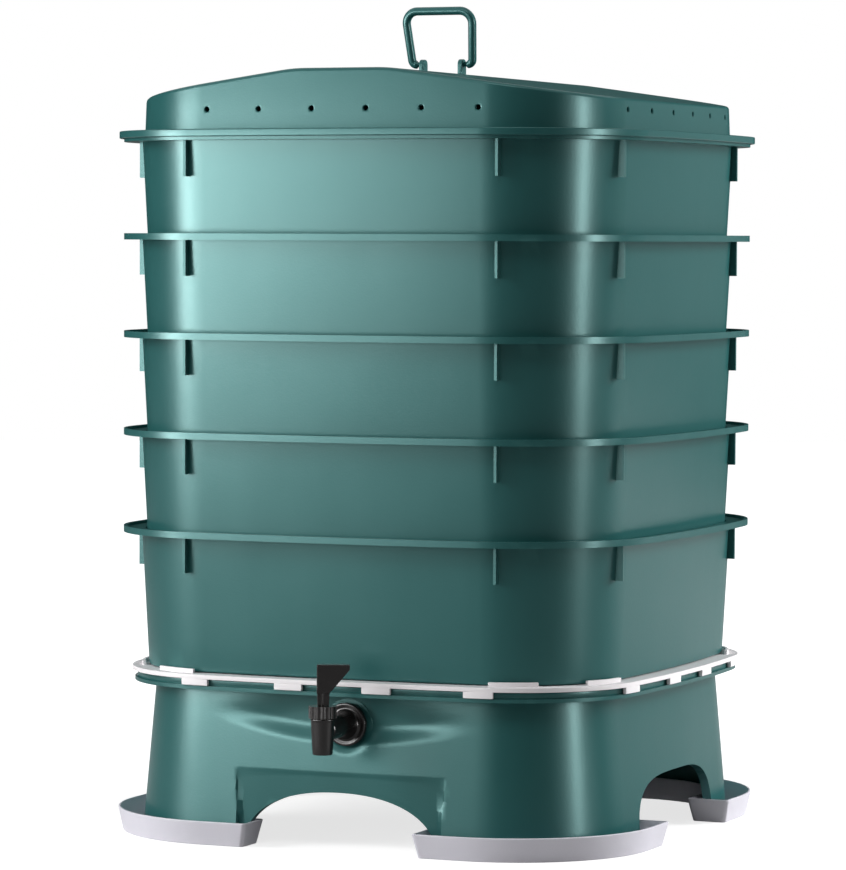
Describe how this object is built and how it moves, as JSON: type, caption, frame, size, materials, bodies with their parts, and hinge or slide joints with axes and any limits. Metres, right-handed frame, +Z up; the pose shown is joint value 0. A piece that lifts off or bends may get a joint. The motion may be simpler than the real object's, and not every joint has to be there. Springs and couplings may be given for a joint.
{
  "type": "wormery",
  "caption": "Stacking worm composter: nesting perforated trays under a gabled vented lid with a folding bail handle, on a sump stand with a lever tap, drip guard and ant-proof foot trays.",
  "frame": {"origin": "on the ground, under the middle of the object's box, which runs from the front of the tap to the back of the lid", "axes": "+Z up; -Y is the front, where the tap is; +X is to the right seen from the front"},
  "size_m": [0.4066, 0.4313, 0.5874],
  "materials": {
    "green_plastic": "moulded polypropylene, dark teal green, semi-gloss",
    "white_plastic": "moulded, white, satin",
    "pale_grey_plastic": "moulded, pale lavender grey, satin",
    "black_plastic": "moulded, black, semi-gloss",
    "silicone": "soft, milky",
    "rubber": "matt black",
    "steel": "stainless wire and pin"
  },
  "bodies": {
    "stand": {"base_stand": "green_plastic", "tap_body": "black_plastic", "tap_outer_washer": "rubber", "tap_inner_washer": "rubber", "tap_lock_nut": "black_plastic"},
    "ant_tray_fr": {"ant_tray_front_right": "pale_grey_plastic"},
    "ant_tray_rr": {"ant_tray_rear_right": "pale_grey_plastic"},
    "ant_tray_rl": {"ant_tray_rear_left": "pale_grey_plastic"},
    "ant_tray_fl": {"ant_tray_front_left": "pale_grey_plastic"},
    "tap_head": {"tap_bonnet": "black_plastic"},
    "tap_valve": {"tap_stem": "black_plastic", "tap_seat_plug": "silicone", "tap_spring": "steel", "tap_lever_pin": "steel"},
    "tap_handle": {"tap_lever": "black_plastic"},
    "guard": {"drip_guard": "white_plastic"},
    "lower_tray": {"tray_1": "green_plastic"},
    "second_tray": {"tray_2": "green_plastic"},
    "third_tray": {"tray_3": "green_plastic"},
    "fourth_tray": {"tray_4": "green_plastic"},
    "upper_tray": {"tray_5": "green_plastic"},
    "cover": {"lid": "green_plastic"},
    "bail": {"lid_handle": "green_plastic"}
  },
  "joints": [
    {"name": "ant_tray_fr_drop", "type": "slide", "parent": "stand", "child": "ant_tray_fr", "axis": [0, 0, -1], "range_m": [0, 0.03]},
    {"name": "ant_tray_rr_drop", "type": "slide", "parent": "stand", "child": "ant_tray_rr", "axis": [0, 0, -1], "range_m": [0, 0.03]},
    {"name": "ant_tray_rl_drop", "type": "slide", "parent": "stand", "child": "ant_tray_rl", "axis": [0, 0, -1], "range_m": [0, 0.03]},
    {"name": "ant_tray_fl_drop", "type": "slide", "parent": "stand", "child": "ant_tray_fl", "axis": [0, 0, -1], "range_m": [0, 0.03]},
    {"name": "tap_head_turn", "type": "hinge", "parent": "stand", "child": "tap_head", "pos_m": [0.005, -0.206, 0.0952], "axis": [0, 0, 1], "range_deg": [-220, 0]},
    {"name": "tap_stem_lift", "type": "slide", "parent": "tap_head", "child": "tap_valve", "axis": [0, 0, 1], "range_m": [0, 0.004], "stiffness_N_per_m": 150, "deforming": ["tap_spring"]},
    {"name": "tap_lever_tilt", "type": "hinge", "parent": "tap_valve", "child": "tap_handle", "pos_m": [0.005, -0.206, 0.1077], "axis": [-0.3907, 0.9205, 0], "range_deg": [0, 40]},
    {"name": "guard_lift", "type": "slide", "parent": "stand", "child": "guard", "axis": [0, 0, 1], "range_m": [0, 0.05]},
    {"name": "tray_1_lift", "type": "slide", "parent": "guard", "child": "lower_tray", "axis": [0, 0, 1], "range_m": [0, 0.05]},
    {"name": "tray_2_lift", "type": "slide", "parent": "lower_tray", "child": "second_tray", "axis": [0, 0, 1], "range_m": [0, 0.11]},
    {"name": "tray_3_lift", "type": "slide", "parent": "second_tray", "child": "third_tray", "axis": [0, 0, 1], "range_m": [0, 0.11]},
    {"name": "tray_4_lift", "type": "slide", "parent": "third_tray", "child": "fourth_tray", "axis": [0, 0, 1], "range_m": [0, 0.11]},
    {"name": "tray_5_lift", "type": "slide", "parent": "fourth_tray", "child": "upper_tray", "axis": [0, 0, 1], "range_m": [0, 0.11]},
    {"name": "lid_lift", "type": "slide", "parent": "upper_tray", "child": "cover", "axis": [0, 0, 1], "range_m": [0, 0.15]},
    {"name": "handle_fold", "type": "hinge", "parent": "cover", "child": "bail", "pos_m": [0, 0.0124, 0.5463], "axis": [1, 0, 0], "range_deg": [-105, 82]}
  ],
  "couplings": [
    {"joint": "tap_lever_tilt", "follows": "tap_stem_lift", "rad_per_m": 174.53}
  ]
}
